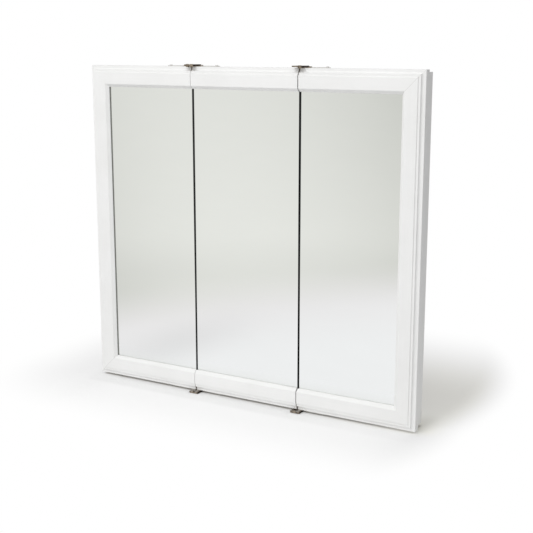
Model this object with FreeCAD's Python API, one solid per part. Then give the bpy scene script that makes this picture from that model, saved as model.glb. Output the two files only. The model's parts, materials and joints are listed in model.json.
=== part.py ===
import FreeCAD, Part
import math
import os
from collections import namedtuple

# Tri-view medicine cabinet in millimetres: +X right, +Y into the wall, +Z up.
# The origin is the centre of the rear face, where the cabinet meets the wall.

# Face and doors
face_width = 762.0
face_height = 686.0
overall_depth = 120.65
seam_offset = 123.7
hinge_seam_gap = 1.0
free_seam_gap = 2.4
glass_set_in = 1.7
free_glass_set_in = 0.4

# Door moulding section, inward from its outer edge
outer_fillet = 4.4
cove_radius = 4.2
inner_fillet = 4.4
ovolo_radius = 1.8
front_flat = 23.9
sight_bevel_run = 6.1
sight_bevel_drop = 6.2
lip_nose = 0.8
edge_ease = 0.8
bevel_ease = 2.4
lip_overlap = 8.0
board_land = 17.3

# Mirror and backing board
glass_thickness = 3.0
glass_clearance = 0.5
backing_thickness = 10.0
backing_recess = 1.0
backing_clearance = 0.3

# Collar and case
door_rest_gap = 2.0
collar_set_in = 5.0
collar_width = 30.0
collar_depth = 27.0
case_wall = 12.0
back_thickness = 3.0
hanging_rail_height = 60.0
hanging_rail_thickness = 12.0
stud_spacing = 406.4
wall_hole_radius = 2.75
side_hole_radius = 2.5
side_hole_spacing = 400.0
side_hole_from_wall = 50.0

# Shelves and their pins
shelf_thickness = 12.0
shelf_height = 98.0
shelf_front_set_back = 5.0
shelf_rear_gap = 2.0
shelf_end_gap = 2.0
pin_radius = 2.45
pin_hole_clearance = 0.05
pin_depth = 8.0
pin_drop = 3.5
pin_row_pitch = 32.0
pin_rows_each_way = 2
pin_front_column = 25.0
pin_rear_column = 32.0
pin_flange_radius = 5.0
pin_flange_thickness = 1.2
pin_tongue_length = 9.0
pin_tongue_width = 9.0

# Hinges
pivot_lead = 2.0
pivot_spread = 4.7
leaf_thickness = 1.5
leaf_reach = 62.0
leaf_width = 10.0
leaf_set_back = 2.5
leaf_end_flat = 1.0
leaf_inner_radius = 2.5
leaf_corner_radius = 1.5
eye_seam_gap = 0.4
leaf_near_screw = 19.5
leaf_end_screw = 6.5
strap_width = 22.0
strap_thickness = 2.5
strap_nose = 4.6
strap_nose_flat = 18.0
strap_bend_radius = 1.0
strap_end_radius = 3.0
strap_web_gap = 2.5
strap_end_margin = 3.0
strap_screw_pitch = 10.0
strap_screw_margin = 6.0
hinge_layer_gap = 0.2
rivet_radius = 2.0
rivet_running_clearance = 0.05
rivet_head_radius = 2.9
rivet_dome_height = 0.8
rivet_dome_rim = 0.3
rivet_foot_height = 1.0
rivet_foot_gap = 0.1

# Magnetic catches and strikes
catch_side_wall = 1.45
catch_end_wall = 2.9
catch_back_wall = 3.7
catch_ear = 8.0
catch_ear_thickness = 2.0
catch_front_set_back = 0.5
catch_ease = 1.0
magnet_length = 24.0
magnet_height = 5.6
magnet_depth = 10.0
magnet_set_back = 1.0
pole_thickness = 1.4
pole_depth = 12.0
magnet_clearance = 0.1
catch_air_gap = 0.3
centre_catch_inset = 25.0
strike_length = 40.0
strike_width = 14.0
strike_thickness = 1.0
strike_screw_margin = 6.0
strike_corner_radius = 2.0

# Bumpers
bumper_radius = 4.0
bumper_tip_radius = 3.0
bumper_clearance = 0.3
bumper_end_inset = 60.0
centre_bumper_inset = 20.0

# Screws and nails: length is measured from the plane under a pan head or over a flat one
Fastener = namedtuple("Fastener", "head_radius head_height shank_radius length")
hinge_screw = Fastener(head_radius=3.2, head_height=1.7, shank_radius=1.5, length=14.0)
catch_screw = Fastener(head_radius=3.0, head_height=1.6, shank_radius=1.4, length=9.0)
strike_screw = Fastener(head_radius=2.8, head_height=1.5, shank_radius=1.3, length=7.0)
case_screw = Fastener(head_radius=3.8, head_height=2.4, shank_radius=1.9, length=40.0)
back_nail = Fastener(head_radius=1.8, head_height=0.6, shank_radius=0.8, length=18.0)
backing_screw_bite = 8.0
backing_screw = Fastener(head_radius=3.4, head_height=2.0, shank_radius=1.6,
                         length=backing_thickness + backing_screw_bite)
collar_screw_bite = 18.0
collar_screw = Fastener(head_radius=3.8, head_height=2.4, shank_radius=1.9,
                        length=case_wall + collar_screw_bite)
head_round_share = 0.6
tip_length_share = 2.0
tip_flat_share = 0.2
nail_inset = 0.2
recess_width = 0.9
recess_share = 0.62
recess_depth = 1.0
side_backing_screws = 4
rail_backing_screws = 2
centre_backing_screws = 3
collar_screws_per_board = 3
collar_screw_margin = 120.0
back_nails_per_edge = 5
back_nail_margin = 36.0
case_screw_from_front = 13.0
case_screw_from_wall = 25.0

# Sizes that follow from those above
mould_rise = cove_radius + ovolo_radius
cove_corner = outer_fillet + cove_radius
ovolo_corner = cove_corner + inner_fillet
sight_bevel_start = ovolo_corner + ovolo_radius + front_flat
sight_line = sight_bevel_start + sight_bevel_run
mirror_set_back = sight_bevel_drop + lip_nose - mould_rise
glass_rabbet = sight_line - lip_overlap
board_rabbet = glass_rabbet - board_land
board_front = mirror_set_back + glass_thickness
edge_depth = board_front + backing_thickness + backing_recess

half_width = face_width / 2
half_height = face_height / 2
y_face = -overall_depth
y_edge = y_face + mould_rise
y_glass = y_edge + mirror_set_back
y_board = y_edge + board_front
y_board_back = y_board + backing_thickness
y_door_back = y_edge + edge_depth
y_collar = y_door_back + door_rest_gap
y_collar_back = y_collar + collar_depth
y_back_panel = -back_thickness

case_half_width = half_width - collar_set_in - collar_width
case_half_height = half_height - collar_set_in - collar_width
inner_half_width = case_half_width - case_wall
inner_half_height = case_half_height - case_wall
collar_half_width = half_width - collar_set_in
collar_half_height = half_height - collar_set_in

side_door_edge = seam_offset + hinge_seam_gap / 2
centre_hinge_edge = hinge_seam_gap / 2 - seam_offset
centre_free_edge = side_door_edge - free_seam_gap

eye_radius = pivot_spread - eye_seam_gap
leaf_end_radius = (leaf_width - leaf_end_flat) / 2
strap_nose_radius = (strap_width - strap_nose_flat) / 2
y_pivot = y_face - pivot_lead
y_leaf_front = y_edge + leaf_set_back
y_leaf_back = y_leaf_front + leaf_width
y_leaf_middle = y_leaf_front + leaf_width / 2
y_nose = y_pivot - strap_nose
y_web = y_door_back + strap_web_gap
y_strap_end = y_collar_back - strap_end_margin
z_strap = half_height + leaf_thickness + hinge_layer_gap
z_strap_top = z_strap + strap_thickness

y_strike_back = y_board_back + strike_thickness
y_pole_front = y_strike_back + catch_air_gap
y_catch_front = y_collar + catch_front_set_back
magnet_stack = magnet_height + 2 * pole_thickness
catch_height = magnet_stack + 2 * (magnet_clearance + catch_side_wall)
catch_body_length = magnet_length + 2 * (magnet_clearance + catch_end_wall)
catch_depth = y_pole_front - y_catch_front + pole_depth + catch_back_wall
side_catch_x = inner_half_width - catch_height / 2
centre_catch_x = centre_free_edge - centre_catch_inset
centre_catch_z = inner_half_height - catch_height / 2

RIGHT = FreeCAD.Vector(1, 0, 0)
BACK = FreeCAD.Vector(0, 1, 0)
UP = FreeCAD.Vector(0, 0, 1)
SMALLEST_EDGE = 1e-6


def point(x, y, z):
    return FreeCAD.Vector(x, y, z)


def block(x0, x1, y0, y1, z0, z1):
    return Part.makeBox(x1 - x0, y1 - y0, z1 - z0, point(x0, y0, z0))


def flip_x(shape):
    return shape.mirror(point(0, 0, 0), RIGHT)


def flip_z(shape):
    return shape.mirror(point(0, 0, 0), UP)


def both_ways(shapes, flip):
    return list(shapes) + [flip(shape) for shape in shapes]


def spread(first, last, count):
    """Evenly spaced places from first to last."""
    step = (last - first) / (count - 1)
    return [first + step * number for number in range(count)]


def rounded_face(corners, place):
    """A flat face from corners (a, b, radius), where place puts (a, b) into space."""
    turns = []
    count = len(corners)
    for number, (a, b, radius) in enumerate(corners):
        here = FreeCAD.Vector(a, b, 0)
        before = FreeCAD.Vector(*corners[number - 1][:2], 0) - here
        after = FreeCAD.Vector(*corners[(number + 1) % count][:2], 0) - here
        if radius == 0:
            turns.append((here, None, here))
            continue
        half_angle = before.getAngle(after) / 2
        before.normalize()
        after.normalize()
        tangent = radius / math.tan(half_angle)
        inward = before + after
        inward.normalize()
        reach = radius / math.sin(half_angle) - radius
        turns.append((here + before * tangent, here + inward * reach, here + after * tangent))

    def spot(flat):
        return place(flat.x, flat.y)

    edges = []
    for number, (start, middle, end) in enumerate(turns):
        if middle is not None:
            edges.append(Part.Arc(spot(start), spot(middle), spot(end)).toShape())
        following = turns[(number + 1) % count][0]
        if end.distanceToPoint(following) > SMALLEST_EDGE:
            edges.append(Part.LineSegment(spot(end), spot(following)).toShape())
    return Part.Face(Part.Wire(edges))


def plan_plate(corners, z0, z1):
    """A level plate from an outline of (x, y, radius) corners."""
    face = rounded_face(corners, lambda a, b: point(a, b, z0))
    return face.extrude(UP * (z1 - z0))


def front_prism(corners, y0, y1):
    """A solid running back from an outline of (x, z) corners."""
    face = rounded_face([(x, z, 0) for x, z in corners], lambda a, b: point(a, y0, b))
    return face.extrude(BACK * (y1 - y0))


def aim(shape, seat, direction):
    """Puts a fastener made tip down at the origin on its seat, tip along direction."""
    turn = FreeCAD.Rotation(UP * -1, direction)
    shape.Placement = FreeCAD.Placement(seat, turn)
    return shape


def fastener_blank(kind, flat, seat, direction):
    """A fastener with no driver recess: pan heads stand on the seat, flat ones lie in it."""
    tip = kind.shank_radius * tip_length_share
    if flat:
        head = Part.makeCone(kind.shank_radius, kind.head_radius, kind.head_height, UP * -kind.head_height)
    else:
        head = Part.makeCylinder(kind.head_radius, kind.head_height)
        rim = [edge for edge in head.Edges if edge.BoundBox.ZMin > kind.head_height / 2]
        head = head.makeFillet(kind.head_height * head_round_share, rim)
    shank = Part.makeCylinder(kind.shank_radius, kind.length - tip, UP * (tip - kind.length))
    end = Part.makeCone(kind.shank_radius * tip_flat_share, kind.shank_radius, tip, UP * -kind.length)
    return aim(head.fuse([shank, end]).removeSplitter(), seat, direction)


def screw(kind, flat, seat, direction):
    """A cross-recess screw, and the blank that its hole is cut with."""
    blank = fastener_blank(kind, flat, seat, direction)
    top = 0 if flat else kind.head_height
    arm = kind.head_radius * recess_share
    half = recess_width / 2
    cross = block(-arm, arm, -half, half, top - recess_depth, top + recess_depth)
    cross = cross.fuse(block(-half, half, -arm, arm, top - recess_depth, top + recess_depth))
    return blank.cut(aim(cross, seat, direction)), blank


def screws(kind, flat, seats, direction):
    made = [screw(kind, flat, seat, direction) for seat in seats]
    return [pair[0] for pair in made], [pair[1] for pair in made]


# Case
def collar_boards():
    """Four mitred boards that wrap the front of the case."""
    outer_x, outer_z = collar_half_width, collar_half_height
    inner_x, inner_z = case_half_width, case_half_height
    top = [(-outer_x, outer_z), (outer_x, outer_z), (inner_x, inner_z), (-inner_x, inner_z)]
    right = [(outer_x, -outer_z), (outer_x, outer_z), (inner_x, inner_z), (inner_x, -inner_z)]
    top_board = front_prism(top, y_collar, y_collar_back)
    right_board = front_prism(right, y_collar, y_collar_back)
    return {
        "collar_top": top_board,
        "collar_bottom": flip_z(top_board),
        "collar_right": right_board,
        "collar_left": flip_x(right_board),
    }


def pin_heights(shelf_underside):
    offsets = range(-pin_rows_each_way, pin_rows_each_way + 1)
    return [shelf_underside - pin_drop + offset * pin_row_pitch for offset in offsets]


def shelf_undersides():
    return (-shelf_height, shelf_height - shelf_thickness)


def pin_columns():
    return (y_collar + pin_front_column, -pin_rear_column)


def case_panels():
    """Sides with pin rows and stud holes, top, bottom, back panel and hanging rails."""
    side = block(inner_half_width, case_half_width, y_collar, y_back_panel,
                 -case_half_height, case_half_height)
    holes = []
    for underside in shelf_undersides():
        for z in pin_heights(underside):
            for y in pin_columns():
                start = point(inner_half_width, y, z)
                holes.append(Part.makeCylinder(pin_radius + pin_hole_clearance, pin_depth, start, RIGHT))
    for z in (-side_hole_spacing / 2, side_hole_spacing / 2):
        start = point(inner_half_width, -side_hole_from_wall, z)
        holes.append(Part.makeCylinder(side_hole_radius, case_wall, start, RIGHT))
    side = side.cut(holes)

    top = block(-inner_half_width, inner_half_width, y_collar, y_back_panel,
                inner_half_height, case_half_height)
    back = block(-case_half_width, case_half_width, y_back_panel, 0, -case_half_height, case_half_height)
    y_rail = y_back_panel - hanging_rail_thickness
    z_rail = inner_half_height - hanging_rail_height
    rail = block(-inner_half_width, inner_half_width, y_rail, y_back_panel, z_rail, inner_half_height)
    wall_holes = []
    for x in (-stud_spacing / 2, stud_spacing / 2):
        for z in (-wall_hole_height(), wall_hole_height()):
            wall_holes.append(Part.makeCylinder(wall_hole_radius, -y_rail, point(x, y_rail, z), BACK))
    rail = rail.cut(wall_holes)
    return {
        "case_right_side": side,
        "case_left_side": flip_x(side),
        "case_top": top,
        "case_bottom": flip_z(top),
        "back_panel": back.cut(wall_holes),
        "top_hanging_rail": rail,
        "bottom_hanging_rail": flip_z(rail),
    }


def wall_hole_height():
    return inner_half_height - hanging_rail_height / 2


def shelves():
    half = inner_half_width - shelf_end_gap
    y0 = y_collar + shelf_front_set_back
    y1 = y_back_panel - shelf_rear_gap
    names = ("lower_shelf", "upper_shelf")
    made = {}
    for name, underside in zip(names, shelf_undersides()):
        made[name] = block(-half, half, y0, y1, underside, underside + shelf_thickness)
    return made


def shelf_pins():
    """Spoon pins: a peg in the side, a flange against it and a flat tongue under the shelf."""
    wall = inner_half_width
    pins = []
    for underside in shelf_undersides():
        for y in pin_columns():
            z = underside - pin_drop
            peg = Part.makeCylinder(pin_radius, pin_depth, point(wall, y, z), RIGHT)
            start = point(wall - pin_flange_thickness, y, z)
            flange = Part.makeCylinder(pin_flange_radius, pin_flange_thickness, start, RIGHT)
            above = block(wall - pin_tongue_length, wall, y - pin_flange_radius, y + pin_flange_radius,
                          underside, underside + pin_flange_radius)
            tongue = block(wall - pin_tongue_length, wall, y - pin_tongue_width / 2, y + pin_tongue_width / 2,
                           z, underside)
            pins.append(peg.fuse([flange.cut(above), tongue]).removeSplitter())
    return both_ways(pins, flip_x)


def case_fasteners(nodes):
    """Case screws, collar screws and back nails, with the holes that they need."""
    right_seats = []
    for z in (-case_half_height + case_wall / 2, case_half_height - case_wall / 2):
        right_seats.append(point(case_half_width, y_collar + case_screw_from_front, z))
        right_seats.append(point(case_half_width, -case_screw_from_wall, z))
    y_rail_middle = y_back_panel - hanging_rail_thickness / 2
    for z in (-wall_hole_height(), wall_hole_height()):
        right_seats.append(point(case_half_width, y_rail_middle, z))
    shown, blanks = screws(case_screw, True, right_seats, RIGHT * -1)
    shown = both_ways(shown, flip_x)
    blanks = both_ways(blanks, flip_x)
    held = ("case_right_side", "case_left_side", "case_top", "case_bottom",
            "top_hanging_rail", "bottom_hanging_rail")
    drill(nodes, held, blanks)
    nodes["case_screws"] = Part.makeCompound(shown)

    y_collar_screw = y_collar + collar_depth / 2
    reach_x = case_half_width - collar_screw_margin
    reach_z = case_half_height - collar_screw_margin
    across = [point(x, y_collar_screw, inner_half_height)
              for x in spread(-reach_x, reach_x, collar_screws_per_board)]
    upright = [point(inner_half_width, y_collar_screw, z) for z in (-reach_z, reach_z)]
    top_shown, top_blanks = screws(collar_screw, True, across, UP)
    side_shown, side_blanks = screws(collar_screw, True, upright, RIGHT)
    shown = both_ways(top_shown, flip_z) + both_ways(side_shown, flip_x)
    blanks = both_ways(top_blanks, flip_z) + both_ways(side_blanks, flip_x)
    held = ("case_right_side", "case_left_side", "case_top", "case_bottom",
            "collar_top", "collar_bottom", "collar_left", "collar_right")
    drill(nodes, held, blanks)
    nodes["collar_screws"] = Part.makeCompound(shown)

    x_edge = case_half_width - case_wall / 2
    z_edge = case_half_height - case_wall / 2
    reach_x = case_half_width - back_nail_margin
    reach_z = case_half_height - back_nail_margin
    seats = [point(x, -nail_inset, z_edge) for x in spread(-reach_x, reach_x, back_nails_per_edge)]
    seats += [point(x, -nail_inset, -z_edge) for x in spread(-reach_x, reach_x, back_nails_per_edge)]
    seats += [point(x_edge, -nail_inset, z) for z in spread(-reach_z, reach_z, back_nails_per_edge)]
    seats += [point(-x_edge, -nail_inset, z) for z in spread(-reach_z, reach_z, back_nails_per_edge)]
    nails = [fastener_blank(back_nail, True, seat, BACK * -1) for seat in seats]
    sinks = [Part.makeCylinder(back_nail.head_radius, nail_inset, seat, BACK) for seat in seats]
    held = ("back_panel", "case_right_side", "case_left_side", "case_top", "case_bottom")
    drill(nodes, held, nails + sinks)
    nodes["back_nails"] = Part.makeCompound(nails)


def drill(nodes, names, cutters):
    """Cuts each named node with the cutters that reach it."""
    for name in names:
        box = nodes[name].BoundBox
        near = [cutter for cutter in cutters if box.intersect(cutter.BoundBox)]
        if near:
            nodes[name] = nodes[name].cut(near)


# Doors
def moulding_section():
    return [
        (0, 0, edge_ease),
        (cove_corner, 0, cove_radius),
        (cove_corner, -cove_radius, 0),
        (ovolo_corner, -cove_radius, 0),
        (ovolo_corner, -mould_rise, ovolo_radius),
        (sight_bevel_start, -mould_rise, bevel_ease),
        (sight_line, mirror_set_back - lip_nose, 0),
        (sight_line, mirror_set_back, 0),
        (glass_rabbet, mirror_set_back, 0),
        (glass_rabbet, board_front, 0),
        (board_rabbet, board_front, 0),
        (board_rabbet, edge_depth, 0),
        (0, edge_depth, 0),
    ]


def top_rail(x0, x1):
    """A length of moulding along the top edge."""
    face = rounded_face(moulding_section(), lambda u, d: point(x0, y_edge + d, half_height - u))
    return face.extrude(RIGHT * (x1 - x0))


def left_stile():
    """The upright moulding of the left door, mitred at both ends."""
    face = rounded_face(moulding_section(), lambda u, d: point(-half_width + u, y_edge + d, -half_height))
    bar = face.extrude(UP * face_height)
    inner_x, inner_z = -half_width + sight_line, half_height - sight_line
    corners = [(-half_width, half_height), (inner_x, inner_z),
               (inner_x, -inner_z), (-half_width, -half_height)]
    return bar.common(front_prism(corners, y_face, y_door_back))


def mitred_top_rail(seam_edge):
    """The left door's top rail: mitred at the outer corner, square at the seam."""
    bar = top_rail(-half_width, seam_edge)
    inner_x, inner_z = -half_width + sight_line, half_height - sight_line
    corners = [(-half_width, half_height), (seam_edge, half_height), (seam_edge, inner_z), (inner_x, inner_z)]
    return bar.common(front_prism(corners, y_face, y_door_back))


def hinge_leaf(seam_x, side):
    """L-shaped leaf on the top edge: side is -1 when its door lies left of the seam."""
    eye_near = pivot_spread - eye_radius
    eye_far = pivot_spread + eye_radius
    eye_front = y_pivot - eye_radius
    corners = [
        (eye_near, eye_front, eye_radius),
        (eye_far, eye_front, eye_radius),
        (eye_far, y_leaf_front, leaf_inner_radius),
        (leaf_reach, y_leaf_front, leaf_end_radius),
        (leaf_reach, y_leaf_back, leaf_end_radius),
        (eye_near, y_leaf_back, leaf_corner_radius),
    ]
    placed = [(seam_x + side * a, b, radius) for a, b, radius in corners]
    plate = plan_plate(placed, half_height, half_height + leaf_thickness)
    axis = point(seam_x + side * pivot_spread, y_pivot, half_height)
    hole = Part.makeCylinder(rivet_radius + rivet_running_clearance, leaf_thickness, axis, UP)
    return plate.cut(hole)


def leaf_seats(seam_x, side):
    reaches = (leaf_near_screw, leaf_reach - leaf_end_screw)
    return [point(seam_x + side * a, y_leaf_middle, half_height + leaf_thickness) for a in reaches]


def strike_plate(x, z, along_x):
    """A flat steel plate on the back of a door, with its two flush screws."""
    half_a, half_b = strike_length / 2, strike_width / 2
    if not along_x:
        half_a, half_b = half_b, half_a
    corners = [(x - half_a, z - half_b, strike_corner_radius), (x + half_a, z - half_b, strike_corner_radius),
               (x + half_a, z + half_b, strike_corner_radius), (x - half_a, z + half_b, strike_corner_radius)]
    face = rounded_face(corners, lambda a, b: point(a, y_board_back, b))
    plate = face.extrude(BACK * strike_thickness)
    reach = strike_length / 2 - strike_screw_margin
    offsets = (-reach, reach)
    if along_x:
        seats = [point(x + offset, y_strike_back, z) for offset in offsets]
    else:
        seats = [point(x, y_strike_back, z + offset) for offset in offsets]
    return plate, seats


def finish_door(pieces, backing_seats, strike_at, leaf_at):
    """Adds the leaves, strike and screws to a door's moulding, mirror and backing board."""
    shown, blanks = screws(backing_screw, True, backing_seats, BACK * -1)
    wooden = [name for name in pieces if name != "mirror"]
    drill(pieces, wooden, blanks)
    pieces["backing_screws"] = Part.makeCompound(shown)

    leaf = hinge_leaf(*leaf_at)
    shown, blanks = screws(hinge_screw, False, leaf_seats(*leaf_at), UP * -1)
    pieces["top_leaf"] = leaf
    pieces["bottom_leaf"] = flip_z(leaf)
    drill(pieces, ("top_leaf", "bottom_leaf", "top_rail", "bottom_rail"), both_ways(blanks, flip_z))
    pieces["leaf_screws"] = Part.makeCompound(both_ways(shown, flip_z))

    plate, seats = strike_plate(*strike_at)
    shown, blanks = screws(strike_screw, True, seats, BACK * -1)
    pieces["strike"] = plate
    drill(pieces, ("strike", "backing_board"), blanks)
    pieces["strike_screws"] = Part.makeCompound(shown)
    return pieces


def left_door():
    seam_edge = -side_door_edge
    outer_glass = -half_width + glass_rabbet + glass_clearance
    outer_board = -half_width + board_rabbet + backing_clearance
    glass_z = half_height - glass_rabbet - glass_clearance
    board_z = half_height - board_rabbet - backing_clearance
    rail = mitred_top_rail(seam_edge)
    pieces = {
        "stile": left_stile(),
        "top_rail": rail,
        "bottom_rail": flip_z(rail),
        "mirror": block(outer_glass, seam_edge - glass_set_in, y_glass, y_board, -glass_z, glass_z),
        "backing_board": block(outer_board, seam_edge, y_board, y_board_back, -board_z, board_z),
    }
    land = board_rabbet + board_land / 2
    x_land = -half_width + land
    z_land = half_height - land
    inner = sight_line + board_land
    seats = [point(x_land, y_board_back, z)
             for z in spread(-half_height + inner, half_height - inner, side_backing_screws)]
    for x in spread(-half_width + inner + board_land, seam_edge - board_land, rail_backing_screws):
        seats += [point(x, y_board_back, z_land), point(x, y_board_back, -z_land)]
    strike_at = (-side_catch_x, 0, False)
    return finish_door(pieces, seats, strike_at, (-seam_offset, -1))


def centre_door():
    left = centre_hinge_edge
    right = centre_free_edge
    glass_z = half_height - glass_rabbet - glass_clearance
    board_z = half_height - board_rabbet - backing_clearance
    rail = top_rail(left, right)
    pieces = {
        "top_rail": rail,
        "bottom_rail": flip_z(rail),
        "mirror": block(left + glass_set_in, right - free_glass_set_in, y_glass, y_board, -glass_z, glass_z),
        "backing_board": block(left, right, y_board, y_board_back, -board_z, board_z),
    }
    z_land = half_height - board_rabbet - board_land / 2
    seats = []
    for x in spread(left + board_land, right - board_land, centre_backing_screws):
        seats += [point(x, y_board_back, z_land), point(x, y_board_back, -z_land)]
    strike_at = (centre_catch_x, centre_catch_z, True)
    return finish_door(pieces, seats, strike_at, (-seam_offset, 1))


# Hinge straps
def hinge_strap(seam_x, sides):
    """A cranked strap: over the leaves at the front, down behind the doors, flat on the collar."""
    z_foot = collar_half_height
    outer_bend = strap_bend_radius + strap_thickness
    y_web_back = y_web + strap_thickness
    profile = [
        (y_nose, z_strap, 0),
        (y_web, z_strap, strap_bend_radius),
        (y_web, z_foot, outer_bend),
        (y_strap_end, z_foot, 0),
        (y_strap_end, z_foot + strap_thickness, 0),
        (y_web_back, z_foot + strap_thickness, strap_bend_radius),
        (y_web_back, z_strap_top, outer_bend),
        (y_nose, z_strap_top, 0),
    ]
    x0 = seam_x - strap_width / 2
    x1 = seam_x + strap_width / 2
    band = rounded_face(profile, lambda a, b: point(x0, a, b)).extrude(RIGHT * strap_width)
    outline = [(x0, y_nose, strap_nose_radius), (x1, y_nose, strap_nose_radius),
               (x1, y_strap_end, strap_end_radius), (x0, y_strap_end, strap_end_radius)]
    strap = band.common(plan_plate(outline, z_foot, z_strap_top))
    axes = [seam_x + side * pivot_spread for side in sides]
    rivets = [hinge_rivet(x) for x in axes]
    shafts = [Part.makeCylinder(rivet_radius, strap_thickness, point(x, y_pivot, z_strap)) for x in axes]
    return strap.cut(shafts), rivets


def hinge_rivet(x):
    """A pivot rivet: a foot under the leaf, a plain shaft and a domed head on the strap."""
    foot_top = half_height - rivet_foot_gap
    foot_base = point(x, y_pivot, foot_top - rivet_foot_height)
    foot = Part.makeCylinder(rivet_head_radius, rivet_foot_height, foot_base)
    shaft = Part.makeCylinder(rivet_radius, z_strap_top - foot_top, point(x, y_pivot, foot_top))
    dome = Part.makeCylinder(rivet_head_radius, rivet_dome_height, point(x, y_pivot, z_strap_top))
    crown = [edge for edge in dome.Edges if edge.CenterOfMass.z > z_strap_top + rivet_dome_height / 2]
    return foot.fuse([shaft, dome.makeFillet(rivet_dome_height - rivet_dome_rim, crown)]).removeSplitter()


def strap_seats(seam_x):
    last = y_strap_end - strap_screw_margin
    z = collar_half_height + strap_thickness
    return [point(seam_x, y, z) for y in (last - strap_screw_pitch, last)]


def hinges(nodes):
    """Two straps at the top, each mirrored to the bottom edge."""
    all_rivets = []
    all_screws = []
    all_blanks = []
    for name, seam_x, sides in (("left", -seam_offset, (-1, 1)), ("right", seam_offset, (1,))):
        strap, rivets = hinge_strap(seam_x, sides)
        shown, blanks = screws(hinge_screw, False, strap_seats(seam_x), UP * -1)
        strap = strap.cut(blanks)
        nodes[name + "_top_hinge_strap"] = strap
        nodes[name + "_bottom_hinge_strap"] = flip_z(strap)
        all_rivets += both_ways(rivets, flip_z)
        all_screws += both_ways(shown, flip_z)
        all_blanks += both_ways(blanks, flip_z)
    drill(nodes, ("collar_top", "collar_bottom"), all_blanks)
    nodes["hinge_rivets"] = Part.makeCompound(all_rivets)
    nodes["strap_screws"] = Part.makeCompound(all_screws)


# Magnetic catches
def catch_pieces():
    """One catch lying on the plane z = 0, front at y = 0, length along X."""
    half_body = catch_body_length / 2
    half_flange = half_body + catch_ear
    flange = block(-half_flange, half_flange, 0, catch_depth, 0, catch_ear_thickness)
    body = block(-half_body, half_body, 0, catch_depth, 0, catch_height)
    raised = [edge for edge in body.Edges if edge.BoundBox.ZMin > catch_height / 2]
    body = body.makeFillet(catch_ease, raised)
    z_stack = (catch_height - magnet_stack) / 2
    y_pole = y_pole_front - y_catch_front
    half_pocket = magnet_length / 2 + magnet_clearance
    pocket = block(-half_pocket, half_pocket, 0, y_pole + pole_depth,
                   z_stack - magnet_clearance, z_stack + magnet_stack + magnet_clearance)
    housing = flange.fuse(body).removeSplitter().cut(pocket)

    def bar(y, depth, z, height):
        return block(-magnet_length / 2, magnet_length / 2, y, y + depth, z, z + height)

    magnet = bar(y_pole + magnet_set_back, magnet_depth, z_stack + pole_thickness, magnet_height)
    poles = [bar(y_pole, pole_depth, z_stack, pole_thickness),
             bar(y_pole, pole_depth, z_stack + pole_thickness + magnet_height, pole_thickness)]
    x_screw = half_body + catch_ear / 2
    seats = [point(x, catch_depth / 2, catch_ear_thickness) for x in (-x_screw, x_screw)]
    shown, blanks = screws(catch_screw, False, seats, UP * -1)
    return housing.cut(blanks), magnet, poles, shown, blanks


def catches(nodes):
    """Three catches: on each case side at mid height, and under the case top for the centre door."""
    places = [
        (point(-inner_half_width, y_catch_front, 0), FreeCAD.Rotation(BACK, 90)),
        (point(centre_catch_x, y_catch_front, inner_half_height), FreeCAD.Rotation(BACK, 180)),
        (point(inner_half_width, y_catch_front, 0), FreeCAD.Rotation(BACK, -90)),
    ]
    housing, magnet, poles, shown, blanks = catch_pieces()
    groups = {"catch_housings": [], "catch_magnets": [], "catch_poles": [], "catch_screws": []}
    cutters = []
    for seat, turn in places:
        matrix = FreeCAD.Placement(seat, turn).toMatrix()
        groups["catch_housings"].append(housing.transformed(matrix))
        groups["catch_magnets"].append(magnet.transformed(matrix))
        groups["catch_poles"] += [pole.transformed(matrix) for pole in poles]
        groups["catch_screws"] += [one.transformed(matrix) for one in shown]
        cutters += [blank.transformed(matrix) for blank in blanks]
    drill(nodes, ("case_left_side", "case_right_side", "case_top"), cutters)
    for name, solids in groups.items():
        nodes[name] = Part.makeCompound(solids)


def bumpers():
    """Soft dots on the collar where the free edges of the doors come to rest."""
    height = door_rest_gap - bumper_clearance
    x_side = case_half_width + collar_width / 2
    z_side = half_height - bumper_end_inset
    x_centre = seam_offset - centre_bumper_inset
    z_centre = case_half_height + collar_width / 2
    spots = [(x_side, z_side), (x_side, -z_side), (-x_side, z_side), (-x_side, -z_side),
             (x_centre, z_centre), (x_centre, -z_centre)]
    return [Part.makeCone(bumper_radius, bumper_tip_radius, height, point(x, y_collar, z), BACK * -1)
            for x, z in spots]


def build():
    nodes = {}
    nodes.update(collar_boards())
    nodes.update(case_panels())
    nodes.update(shelves())
    nodes["shelf_pins"] = Part.makeCompound(shelf_pins())
    case_fasteners(nodes)
    hinges(nodes)
    catches(nodes)
    nodes["bumpers"] = Part.makeCompound(bumpers())
    for name, shape in left_door().items():
        nodes["left_door_" + name] = shape
        nodes["right_door_" + name] = flip_x(shape)
    for name, shape in centre_door().items():
        nodes["centre_door_" + name] = shape
    return nodes


os.makedirs("parts", exist_ok=True)
for node_name, node_shape in build().items():
    node_shape.exportStep("parts/" + node_name + ".step")
    print(node_name, len(node_shape.Solids), node_shape.isValid(), round(node_shape.Volume, 2))
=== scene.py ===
# %% [markdown]
# # A three-door mirror cabinet, dressed for its picture
# The cabinet is already built to size as separate pieces: mitred mouldings, mirrors, boards, hinges,
# screws. This lesson adds what construction can't hold: the paint, the silvering, the plating, the light
# and the camera. Every piece stays where it was built, so the first step loads them and keeps their
# common box.

# %% Load the built cabinet
import itertools
import json
import math

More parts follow.
